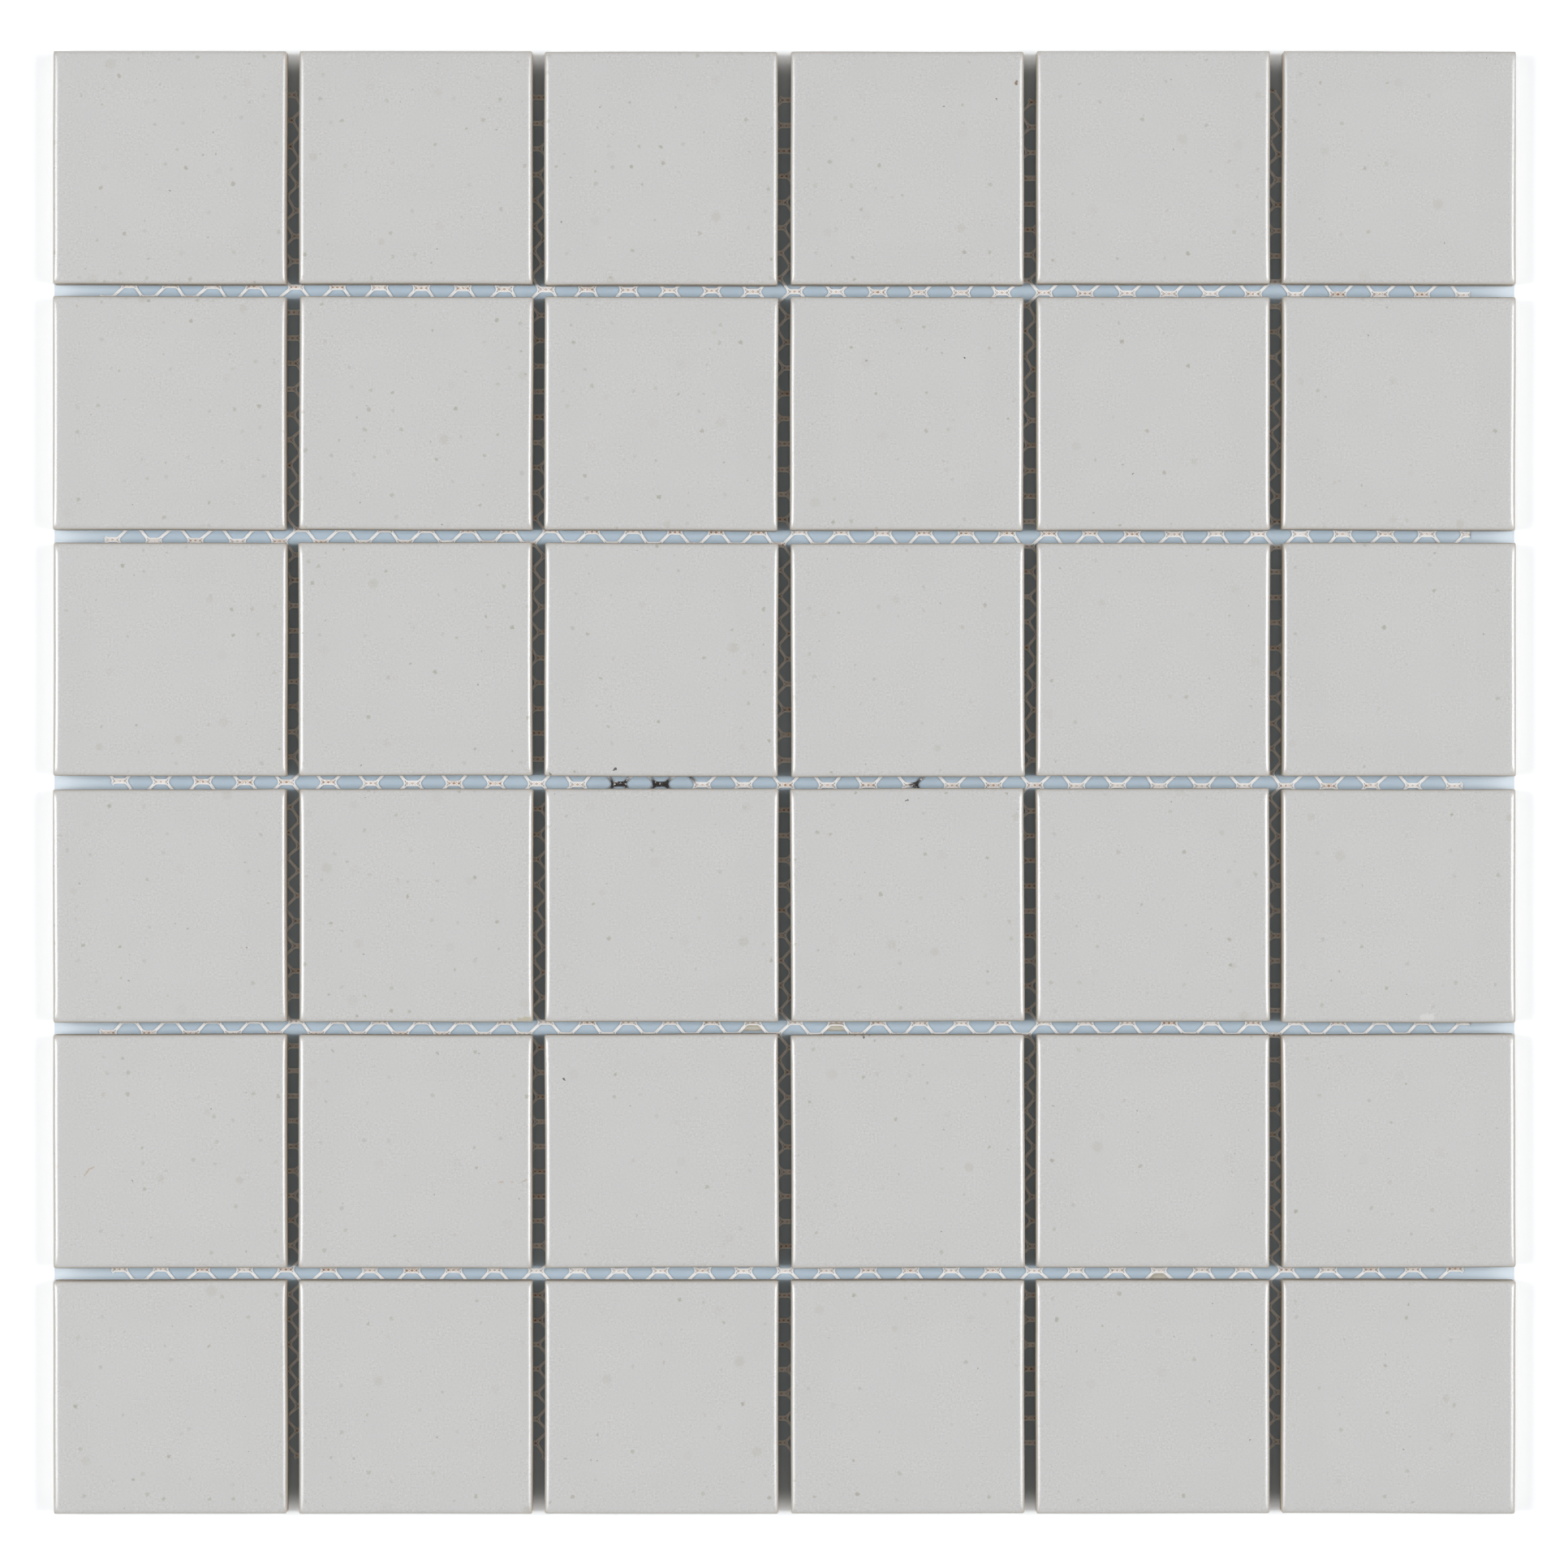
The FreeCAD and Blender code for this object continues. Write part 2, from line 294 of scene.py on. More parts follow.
def photo_to_face(x, y):
    """Where a point of the photograph lies on the glazed faces, seen from above."""
    return (x - SHEET_MIDDLE_PX[0]) * PIXEL, (SHEET_MIDDLE_PX[1] - y) * PIXEL, 0.0


def stroke_mask(tree, place, strokes):
    """One on the strokes and zero off them, seen from above."""
    level = vector_node(tree, "MULTIPLY", {0: place, 1: (1, 1, 0)}).outputs[0]
    total = 0.0
    for x0, y0, x1, y1, half_width in strokes:
        start = photo_to_face(x0, y0)
        run = tuple(b - a for a, b in zip(start, photo_to_face(x1, y1)))
        from_start = vector_node(tree, "SUBTRACT", {0: level, 1: start}).outputs[0]
        on_run = vector_node(tree, "DOT_PRODUCT", {0: from_start, 1: run}).outputs["Value"]
        share = ramp(tree, on_run, 0.0, sum(part * part for part in run))
        foot = vector_node(tree, "SCALE", {0: run, 3: share}).outputs[0]
        away = vector_node(tree, "DISTANCE", {0: from_start, 1: foot}).outputs["Value"]
        reach = half_width * PIXEL
        stroke = ramp(tree, away, STROKE_FADE[0] * reach, STROKE_FADE[1] * reach, 1.0, 0.0)
        total = math_node(tree, "MAXIMUM", stroke, total)
    return total


def glaze_colour(tree, place, along, height):
    """Pale grey with a fine grain, sparse specks, the photograph's marks and a thin warm edge."""
    glaze = mix(tree, noise(tree, place, CLOUD_SIZE, 3.0), *GLAZE_GREYS)
    grain = noise(tree, place, GRAIN_SIZE, 2.0, 0.7)
    strong = ramp(tree, noise(tree, place, GRAIN_PATCH_SIZE), 0.35, 0.65, 0.35, 1.0)
    dark = math_node(tree, "MULTIPLY", ramp(tree, grain, 0.52, 0.68), strong)
    glaze = mix(tree, dark, glaze, GRAIN_DARK)
    light = math_node(tree, "MULTIPLY", ramp(tree, grain, 0.48, 0.32), strong)
    glaze = mix(tree, light, glaze, GRAIN_LIGHT)

    wobble = add(tree, "ShaderNodeTexNoise", {"Vector": place, "Scale": 1 / WANDER_SIZE})
    spread = (WANDER, WANDER, 0.0)
    back = (-WANDER / 2, -WANDER / 2, 0.0)
    ragged = vector_node(tree, "MULTIPLY_ADD", {0: wobble.outputs["Color"], 1: spread, 2: back})
    warped = vector_node(tree, "ADD", {0: place, 1: ragged.outputs[0]}).outputs[0]
    crowd = ramp(tree, noise(tree, place, CROWD_SIZE), 0.38, 0.68, 0.2, 1.0)
    fewer_to_the_right = ramp(tree, along, cad_low.x, cad_high.x, 1.0, FEWEST_PITS)
    crowd = math_node(tree, "MULTIPLY", crowd, fewer_to_the_right)
    for kind, share in ((PITS, crowd), (DOTS, DOT_SHARE), (SMUDGES, SMUDGE_SHARE)):
        spacing, smallest, largest, colour, strength = kind
        there = spots(tree, warped, spacing, smallest, largest, share)
        glaze = mix(tree, math_node(tree, "MULTIPLY", there, strength), glaze, colour)
    for strokes, colour, strength in FACE_MARKS:
        there = stroke_mask(tree, warped, strokes)
        glaze = mix(tree, math_node(tree, "MULTIPLY", there, strength), glaze, colour)

    # Painted shade: the rim's lower part takes a dark warm tint, standing for the shaded line along
    # the joints.
    edge = ramp(tree, height, TILE_TOP - EDGE_FULL, TILE_TOP - EDGE_END, EDGE_STRENGTH, 0.0)
    return mix(tree, edge, glaze, EDGE_TINT_AND_SHADE)


def glazed_tile_material():
    """Pale grey gloss glaze with orange peel over a sandy fired body, darkened with painted shade.
    """
    material, tree, output = new_material("tile_glaze")
    place = add(tree, "ShaderNodeTexCoord").outputs["Object"]
    along, _, height = add(tree, "ShaderNodeSeparateXYZ", {0: place}).outputs
    glaze = glaze_colour(tree, place, along, height)

    sand = noise(tree, place, SAND_SIZE, 4.0, 0.7)
    # The body's browns are its sandy colour darkened with painted shade, so the tile sides read
    # dark.
    body = mix(tree, sand, *BODY_BROWNS_AND_SHADE)
    run = noise(tree, place, GLAZE_RUN_SIZE)
    glaze_end = math_node(tree, "MULTIPLY_ADD", run, GLAZE_RUN, TILE_TOP - GLAZE_REACH)
    depth = math_node(tree, "SUBTRACT", height, glaze_end)
    glazed = ramp(tree, depth, -GLAZE_BORDER, GLAZE_BORDER)
    colour = mix(tree, glazed, body, glaze)

    peel = noise(tree, place, PEEL_SIZE)
    ripple = noise(tree, place, RIPPLE_SIZE)
    relief = math_node(tree, "MULTIPLY_ADD", ripple, 0.35, peel)
    glossy_bump = bump(tree, relief, PEEL_DEPTH, 1.0)
    rough_bump = bump(tree, sand, SAND_DEPTH, 0.8)
    bumps = {0: glazed, 4: rough_bump, 5: glossy_bump}
    inputs = {
        "Base Color": colour,
        "Roughness": ramp(tree, glazed, 0.0, 1.0, 0.85, 0.27),
        "Normal": add(tree, "ShaderNodeMix", bumps, data_type="VECTOR").outputs[1],
        "IOR": 1.55,
        "Specular IOR Level": 0.8,
    }
    shader = add(tree, "ShaderNodeBsdfPrincipled", inputs)
    tree.links.new(shader.outputs[0], output.inputs["Surface"])
    return material


def yarn_material():
    """Cream yarn, rusty on many knots and stained black on a few, with fine fibres."""
    material, tree, output = new_material("net_yarn")
    place = add(tree, "ShaderNodeTexCoord").outputs["Object"]
    rust = add(tree, "ShaderNodeAttribute", attribute_name="rust").outputs["Fac"]
    stain = add(tree, "ShaderNodeAttribute", attribute_name="stain").outputs["Fac"]
    fibre = noise(tree, place, FIBRE_SIZE, 3.0, 0.7)
    patch = noise(tree, place, YARN_PATCH_SIZE)
    cream = mix(tree, ramp(tree, fibre, 0.32, 0.48), *YARN_CREAMS)
    rusty = math_node(tree, "MULTIPLY", rust, ramp(tree, patch, 0.3, 0.5))
    colour = mix(tree, rusty, cream, YARN_RUST)
    black = math_node(tree, "MULTIPLY", stain, ramp(tree, patch, 0.28, 0.42))
    colour = mix(tree, black, colour, YARN_BLACK)
    inputs = {
        "Base Color": colour,
        "Roughness": 0.8,
        "Normal": bump(tree, fibre, FIBRE_DEPTH, 0.6),
        "Sheen Weight": 0.4,
    }
    shader = add(tree, "ShaderNodeBsdfPrincipled", inputs)
    tree.links.new(shader.outputs[0], output.inputs["Surface"])
    return material


def adhesive_material():
    """Dried adhesive: milky, slightly yellow, part clear, with a soft shine."""
    material, tree, output = new_material("dried_adhesive")
    place = add(tree, "ShaderNodeTexCoord").outputs["Object"]
    milk = noise(tree, place, MILK_SIZE, 3.0)
    pock = noise(tree, place, POCK_SIZE)
    inputs = {
        "Base Color": mix(tree, milk, *ADHESIVE_YELLOWS),
        "Roughness": ramp(tree, pock, 0.3, 0.7, 0.3, 0.5),
        "Normal": bump(tree, pock, POCK_DEPTH, 0.6),
        "Transmission Weight": 0.3,
        "IOR": 1.47,
    }
    shader = add(tree, "ShaderNodeBsdfPrincipled", inputs)
    tree.links.new(shader.outputs[0], output.inputs["Surface"])
    return material


def seen_straight(tree):
    """One for what the camera, a reflection or clear material sees, and zero for light on things."""
    ray = add(tree, "ShaderNodeLightPath").outputs
    straight = math_node(tree, "MAXIMUM", ray["Is Camera Ray"], ray["Is Glossy Ray"])
    return math_node(tree, "MAXIMUM", straight, ray["Is Transmission Ray"])


def floor_material(half_side):
    """A pale floor: cool under the sheet, lighter towards its edge as painted light, and white
    around it.
    """
    material, tree, output = new_material("pale_floor")
    place = add(tree, "ShaderNodeTexCoord").outputs["Object"]
    right, up, _ = add(tree, "ShaderNodeSeparateXYZ", {0: place}).outputs
    across = math_node(tree, "ABSOLUTE", right)
    along = math_node(tree, "ABSOLUTE", up)
    reach = math_node(tree, "MAXIMUM", across, along)
    # Painted light: the floor grows lighter towards the sheet's edge, standing for light that enters
    # the joints at their ends.
    start = 1 - half_side / PAINTED_LIGHT_BORDER
    in_painted_light_border = math_node(tree, "MULTIPLY_ADD", reach, 1 / PAINTED_LIGHT_BORDER, start)
    painted_light_near_edge = math_node(tree, "POWER", math_node(tree, "MAXIMUM", in_painted_light_border, 0.0), PAINTED_LIGHT_POWER)
    colour = mix(tree, painted_light_near_edge, UNDER_MIDDLE, UNDER_EDGE_PAINTED_LIGHT)
    at_side = ramp(tree, across, half_side + WHITE_START, half_side + WHITE_END)
    # Painted light: white and a painted glow reach into the ends of the vertical joints.
    painted_light_at_end = ramp(tree, along, half_side - PAINTED_LIGHT_REACH_IN, half_side + WHITE_END)
    white_and_end_light = math_node(tree, "MAXIMUM", at_side, math_node(tree, "POWER", painted_light_at_end, 2.0))
    colour = mix(tree, white_and_end_light, colour, OUTSIDE)
    diffuse = add(tree, "ShaderNodeBsdfDiffuse", {"Color": colour})
    seen_white_and_end_light = math_node(tree, "MULTIPLY", seen_straight(tree), white_and_end_light)
    lift = math_node(tree, "MULTIPLY", seen_white_and_end_light, WHITE_LIFT)
    glow = add(tree, "ShaderNodeEmission", {"Color": (1, 1, 1, 1), "Strength": lift})
    both = add(tree, "ShaderNodeAddShader", {0: diffuse.outputs[0], 1: glow.outputs[0]})
    tree.links.new(both.outputs[0], output.inputs["Surface"])
    return material


# Tiles.

# Points along a side and round a corner of a ring, and the steps of the rounded rim.
SIDE_POINTS = 10
CORNER_POINTS = 5
RIM_STEPS = 8
# The side's corner radius, and how much it grows up the rim.
CORNER_RADIUS = 0.45 * MM
CORNER_SWELL = 1.7 * MM
SWELL_POWER = 1.4
RIM_WIDTH = 1.35 * MM
RIM_DROP = 0.8 * MM
BACK_CHAMFER = 0.4 * MM
# The side's middle ring, as a share of the tile's thickness.
SIDE_RING = 0.45
# The face droops a little towards the rim. Its rings: how far in from the rim, and what is left
# of the droop there, then the last ring's inset as a share of the tile's side.
FACE_DROOP = 0.05 * MM
FACE_RINGS = ((0.6 * MM, 0.5), (1.6 * MM, 0.15), (3.0 * MM, 0.0))
LAST_RING = 0.3
# The keying grooves in the back.
GROOVES = 5
RIB_WIDTH = 4.5 * MM
BACK_BORDER = 4.0 * MM
GROOVE_LENGTH = TILE_SIDE - 2 * BACK_BORDER
GROOVE_PITCH = (GROOVE_LENGTH + RIB_WIDTH) / GROOVES
GROOVE_WIDTH = GROOVE_PITCH - RIB_WIDTH
GROOVE_DEPTH = dab_high.z - dab_low.z
GROOVE_DRAFT = 0.25 * MM
# How the tiles differ: each side has a wave, with so many radians to a metre, and a swell. Both
# fade inwards within the outer part of the half side.
SIDE_WAVE = 0.035 * MM
WAVE_RATES = (90, 160)
SIDE_SWELL = 0.03 * MM
WAVY_PART = 0.1
# How far off its place a tile is set down, and how much it is turned.
SET_SHIFT = 0.12 * MM
SET_TURN = math.radians(0.26)
TILE_SHARP_ANGLE = math.radians(35)


def rounded_square(half, radius):
    """Points round a square with rounded corners, the same number at any size."""
    points = []
    for corner in range(4):
        turn = corner * math.pi / 2
        middle = half - radius
        cx = middle * (math.cos(turn) - math.sin(turn))
        cy = middle * (math.sin(turn) + math.cos(turn))
        for step in range(CORNER_POINTS):
            angle = turn + step / (CORNER_POINTS - 1) * math.pi / 2
            points.append((cx + radius * math.cos(angle), cy + radius * math.sin(angle)))
        start = points[-1]
        next_turn = turn + math.pi / 2
        ex = middle * (math.cos(next_turn) - math.sin(next_turn)) + radius * math.cos(next_turn)
        ey = middle * (math.sin(next_turn) + math.cos(next_turn)) + radius * math.sin(next_turn)
        for step in range(1, SIDE_POINTS):
            share = step / SIDE_POINTS
            points.append((start[0] + (ex - start[0]) * share, start[1] + (ey - start[1]) * share))
    return points


def tile_sections():
    """Each ring from the back up to the face: its inset, height above the back and corner radius."""
    thickness = TILE_TOP - TILE_BACK
    sections = [
        (BACK_CHAMFER, 0.0, CORNER_RADIUS),
        (0.0, BACK_CHAMFER, CORNER_RADIUS),
        (0.0, thickness * SIDE_RING, CORNER_RADIUS),
    ]
    for step in range(RIM_STEPS + 1):
        angle = step / RIM_STEPS * math.pi / 2
        inset = RIM_WIDTH * (1 - math.cos(angle))
        level = thickness - FACE_DROOP - RIM_DROP * (1 - math.sin(angle))
        swell = CORNER_SWELL * (step / RIM_STEPS) ** SWELL_POWER
        sections.append((inset, level, CORNER_RADIUS + swell))
    top_radius = CORNER_RADIUS + CORNER_SWELL
    for beyond, droop in FACE_RINGS:
        sections.append((RIM_WIDTH + beyond, thickness - FACE_DROOP * droop, top_radius))
    sections.append((TILE_SIDE * LAST_RING, thickness, top_radius))
    return sections


def groove_rectangles():
    """The keying grooves' mouths as low and high corners."""
    for number in range(GROOVES):
        middle = (number - (GROOVES - 1) / 2) * GROOVE_PITCH
        low = (-GROOVE_LENGTH / 2, middle - GROOVE_WIDTH / 2)
        high = (GROOVE_LENGTH / 2, middle + GROOVE_WIDTH / 2)
        yield low, high


def rectangle(low, high, inset):
    """The four corners of a rectangle, drawn in by an inset."""
    x0, y0 = low[0] + inset, low[1] + inset
    x1, y1 = high[0] - inset, high[1] - inset
    return [(x0, y0), (x1, y0), (x1, y1), (x0, y1)]


def tile_shell():
    """Points and faces of one tile about its own middle, with its back at zero."""
    rings = [
        [(x, y, level) for x, y in rounded_square(TILE_SIDE / 2 - inset, radius)]
        for inset, level, radius in tile_sections()
    ]
    count = len(rings[0])
    points = [point for ring in rings for point in ring]
    faces = []
    for ring in range(len(rings) - 1):
        for step in range(count):
            near, far = step, (step + 1) % count
            low, high = ring * count, (ring + 1) * count
            faces.append((low + near, low + far, high + far, high + near))
    points.append((0.0, 0.0, rings[-1][0][2]))
    hub = len(points) - 1
    last = (len(rings) - 1) * count
    for step in range(count):
        faces.append((last + step, last + (step + 1) % count, hub))

    mouths = []
    for low, high in groove_rectangles():
        mouth = [(x, y, 0.0) for x, y in rectangle(low, high, 0.0)]
        ceiling = [(x, y, GROOVE_DEPTH) for x, y in rectangle(low, high, GROOVE_DRAFT)]
        first = len(points)
        points.extend(mouth + ceiling)
        mouths.append(range(first, first + 4))
        for side in range(4):
            near, far = side, (side + 1) % 4
            faces.append((first + far, first + near, first + 4 + near, first + 4 + far))
        faces.append(tuple(first + 4 + side for side in (3, 2, 1, 0)))
    outline = list(range(count))
    loops = [outline] + [list(mouth) for mouth in mouths]
    flat = [[(points[i][0], points[i][1], 0.0) for i in loop] for loop in loops]
    numbers = [i for loop in loops for i in loop]
    for triangle in tessellate_polygon(flat):
        a, b, c = (numbers[i] for i in triangle)
        ax, ay = points[a][:2]
        bx, by = points[b][:2]
        cx, cy = points[c][:2]
        facing_up = (bx - ax) * (cy - ay) - (by - ay) * (cx - ax) > 0
        faces.append((a, c, b) if facing_up else (a, b, c))
    return np.array(points), faces


def wavy(shell, chance):
    """The tile's points with a slight wave and swell of its own in each of the four sides."""
    points = shell.copy()
    for side in range(4):
        size = chance.uniform(-1, 1)
        start = chance.uniform(*WAVE_STARTS)
        rate = chance.uniform(*WAVE_RATES)
        axis = side // 2
        sign = 1 if side % 2 else -1
        across, along = shell[:, axis], shell[:, 1 - axis]
        share = sign * across / (TILE_SIDE / 2)
        near = np.clip((share - (1 - WAVY_PART)) / WAVY_PART, 0, 1)
        shift = SIDE_WAVE * np.sin(along * rate + start) + SIDE_SWELL * size
        points[:, axis] += sign * near * shift
    return points


def set_down(points, middle, chance):
    """The tile's points at its place in the sheet, a little turned and a little off."""
    turn = chance.uniform(-SET_TURN, SET_TURN)
    right = middle.x + chance.uniform(-SET_SHIFT, SET_SHIFT)
    up = middle.y + chance.uniform(-SET_SHIFT, SET_SHIFT)
    cos, sin = math.cos(turn), math.sin(turn)
    x = points[:, 0] * cos - points[:, 1] * sin + right
    y = points[:, 0] * sin + points[:, 1] * cos + up
    x = np.clip(x, cad_low.x, cad_high.x)
    y = np.clip(y, cad_low.y, cad_high.y)
    return np.stack([x, y, points[:, 2] + TILE_BACK], axis=1)


def make_tiles(material):
    """The sheet's tiles, each as it was set down by hand."""
    shell, faces = tile_shell()
    chance = random.Random(TILE_SEED)
    for row in range(1, ROWS + 1):
        for column in range(1, COLUMNS + 1):
            node = f"tile_r{row}_c{column}"
            low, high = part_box(node)
            points = set_down(wavy(shell, chance), (low + high) / 2, chance)
            piece = make_piece(f"glazed_r{row}_c{column}", points, faces, [node])
            piece.data.set_sharp_from_angle(angle=TILE_SHARP_ANGLE)
            piece.data.materials.append(material)


# The net.

# The knots lie in columns and half rows that bend a little, as the photograph shows them.
FIRST_KNOT_PX = (160.1, 351.3)
COLUMN_STEP_PX = (25.54, 0.305)
HALF_ROW_STEP_PX = (-1.086, 15.764)
COLUMN_BEND_PX = (0.0016, -0.0019)
HALF_ROW_BEND_PX = (0.0036, -0.0030)
TWIST_PX = (0.0, -0.0023)
# The net lies below the glazed faces, where a pixel covers this much more.
NET_LEVEL_SCALE = 1.004
# How far the net strays from those lines: to the right at the middle of each column of tiles, and
# down at each joint between two rows of tiles.
STRAY_RIGHT_PX = (-1.4, 1.4, 0.1, -0.1, -1.5, 2.4)
STRAY_DOWN_PX = (0.2, 0.0, 0.6, 1.2, 1.0)
# The numbers of all columns and half rows that may lie on the net.
KNOT_LINES = range(-24, 102)
# How far one knot is off its place, to the right and up.
KNOT_STRAY = 0.09 * MM

# Half the widths of the flat yarns, and about how thick they are as a share of the width.
YARN_HALF = 0.15 * MM
EDGE_HALF = 0.165 * MM
LACE_HALF = 0.10 * MM
CORE_HALF = 0.30 * MM
CORE_END_HALF = 0.12 * MM
YARN_FLATNESS = 0.6
LACE_FLATNESS = 0.8
CORE_FLATNESS = 0.2
YARN_SIDES = 4
LACE_SIDES = 3
# Yarns have flat tops with sharp borders, so that they catch the full light.
YARN_SHARP_ANGLE = math.radians(75)
# Places in a knot, measured from its middle to the side and up or down: its ends, its edges and
# the legs that leave it.
END_REACH = 1.50 * MM
END_LEG = (1.66 * MM, 0.52 * MM)
EDGE_REACH = 0.70 * MM
EDGE_RISE = 0.38 * MM
EDGE_BEND = (1.14 * MM, 0.46 * MM)
EDGE_LEG = (1.50 * MM, 0.76 * MM)
CORE_REACH = 1.25 * MM
# A lace's bends: shares of the end's reach along the knot and of the edge's rise across it.
LACE_BENDS = ((-0.98, 0.0), (-0.70, 1.0), (0.0, -1.0), (0.70, 1.0), (0.98, 0.0))
# Heights of the yarns above the floor.
CORE_LEVEL = 0.12 * MM
LOW_LEVEL = 0.17 * MM
MIDDLE_LEVEL = 0.2 * MM
HIGH_LEVEL = 0.25 * MM
# Knots differ in size, and in rust from 0 to 1: the power makes most of them less rusty.
KNOT_SIZES = (0.92, 1.08)
RUST_POWER = 1.6
# How much of its knot's rust each yarn takes, and the least brown of a core, which is painted shade
# inside the knot.
UPPER_EDGE_RUST = 0.45
LOWER_EDGE_RUST = 0.15
BEND_SHARE = 0.4
END_RUST = 0.1
LACE_RUST = 0.2
LEAST_CORE_PAINTED_SHADE = 0.5
# Where yarn is stained black: x, y and radius in the photograph, and the stains' soft border.
STAINS_PX = ((761, 964, 17), (813, 964, 17), (851, 958, 8), (1130, 963, 11))
STAIN_BORDER = 0.3 * MM


def photo_to_net(x, y):
    """Where a point of the photograph lies on the net."""
    scale = PIXEL * NET_LEVEL_SCALE
    return (x - SHEET_MIDDLE_PX[0]) * scale, (SHEET_MIDDLE_PX[1] - y) * scale


def knot_place(column, half_row):
    """The middle of a knot. Column and half_row are both even or both odd."""
    place = []
    for axis in range(2):
        along = column * (COLUMN_STEP_PX[axis] + column * COLUMN_BEND_PX[axis])
        down = half_row * (HALF_ROW_STEP_PX[axis] + half_row * HALF_ROW_BEND_PX[axis])
        place.append(FIRST_KNOT_PX[axis] + along + down + column * half_row * TWIST_PX[axis])
    for axis, stray in enumerate((STRAY_RIGHT_PX, STRAY_DOWN_PX)):
        first = SHEET_MIDDLE_PX[axis] - (len(stray) - 1) / 2 * MODULE_PX
        places = [first + number * MODULE_PX for number in range(len(stray))]
        place[axis] += np.interp(place[axis], places, stray)
    return photo_to_net(*place)


def lay_out_knots():
    """Every knot inside the net's outline: its place, how open it is and how rusty."""
    chance = random.Random(NET_SEED)
    knots = {}
    for column in KNOT_LINES:
        for half_row in KNOT_LINES:
            if (column + half_row) % 2:
                continue
            x, y = knot_place(column, half_row)
            x += chance.uniform(-KNOT_STRAY, KNOT_STRAY)
            y += chance.uniform(-KNOT_STRAY, KNOT_STRAY)
            size = chance.uniform(*KNOT_SIZES)
            rust = chance.random() ** RUST_POWER
            if net_low.x < x < net_high.x and net_low.y < y < net_high.y:
                knots[column, half_row] = (x, y, size, rust)
    return knots


def edge_yarn(knot, side):
    """Left to right along a knot's lower edge (side 1) or upper edge (side -1)."""
    x, y, size, rust = knot
    tint = rust * (LOWER_EDGE_RUST if side > 0 else UPPER_EDGE_RUST)
    half = (
        (*EDGE_LEG, YARN_HALF, 0.0),
        (*EDGE_BEND, YARN_HALF, BEND_SHARE * tint),
        (EDGE_REACH, EDGE_RISE, EDGE_HALF, tint),
    )
    left, right = [], []
    for away, rise, half_width, shade in half:
        level = y - side * rise * size
        left.append((x - away * size, level, MIDDLE_LEVEL, half_width, shade))
        right.append((x + away * size, level, MIDDLE_LEVEL, half_width, shade))
    return left + right[::-1]


def end_yarn(knot, side):
    """Downwards round a knot's right end (side 1) or left end (side -1)."""
    x, y, size, rust = knot
    return [
        (x + side * END_LEG[0] * size, y + END_LEG[1] * size, MIDDLE_LEVEL, YARN_HALF, 0.0),
        (x + side * END_REACH * size, y, LOW_LEVEL, YARN_HALF, rust * END_RUST),
        (x + side * END_LEG[0] * size, y - END_LEG[1] * size, MIDDLE_LEVEL, YARN_HALF, 0.0),
    ]


def lace_yarn(knot, side):
    """The thin yarn that zigzags between a knot's edges; the two sides cross each other."""
    x, y, size, rust = knot
    path = []
    for along, across in LACE_BENDS:
        level = MIDDLE_LEVEL + side * across * (HIGH_LEVEL - MIDDLE_LEVEL)
        place = (x + along * END_REACH * size, y + side * across * EDGE_RISE * size)
        path.append((*place, level, LACE_HALF, rust * LACE_RUST))
    return path


def core_yarn(knot):
    """The flat brownish strand inside a knot, seen between its laces; its brown is rust and painted
    shade.
    """
    x, y, size, rust = knot
    # Painted shade: every core is at least half brown, standing for shade between the yarns inside
    # the knot; rust adds the rest.
    shade = LEAST_CORE_PAINTED_SHADE + (1 - LEAST_CORE_PAINTED_SHADE) * rust
    return [
        (x - CORE_REACH * size, y, CORE_LEVEL, CORE_END_HALF, shade),
        (x, y, CORE_LEVEL, CORE_HALF, shade),
        (x + CORE_REACH * size, y, CORE_LEVEL, CORE_END_HALF, shade),
    ]


def cell_yarns(knots):
    """The yarn round each open cell: a closed loop, or cut ends at the net's border."""
    for column in KNOT_LINES:
        for half_row in KNOT_LINES:
            if (column + half_row) % 2 == 0:
                continue
            above = knots.get((column, half_row - 1))
            right = knots.get((column + 1, half_row))
            below = knots.get((column, half_row + 1))
            left = knots.get((column - 1, half_row))
            sides = [
                above and edge_yarn(above, 1),
                right and end_yarn(right, -1),
                below and edge_yarn(below, -1)[::-1],
                left and end_yarn(left, 1)[::-1],
            ]
            if all(sides):
                loop = sum(sides, [])
                yield loop + loop[:1]
                continue
            gap = sides.index(None)
            run = []
            for side in sides[gap:] + sides[:gap] + [None]:
                if side:
                    run += side
                elif run:
                    yield run
                    run = []


def stained(points):
    """How black each point of the net is, from 0 to 1."""
    stain = np.zeros(len(points))
    for x, y, reach in STAINS_PX:
        spot = photo_to_net(x, y)
        away = np.hypot(points[:, 0] - spot[0], points[:, 1] - spot[1])
        stain = np.maximum(stain, np.clip((reach * PIXEL - away) / STAIN_BORDER, 0, 1))
    return stain


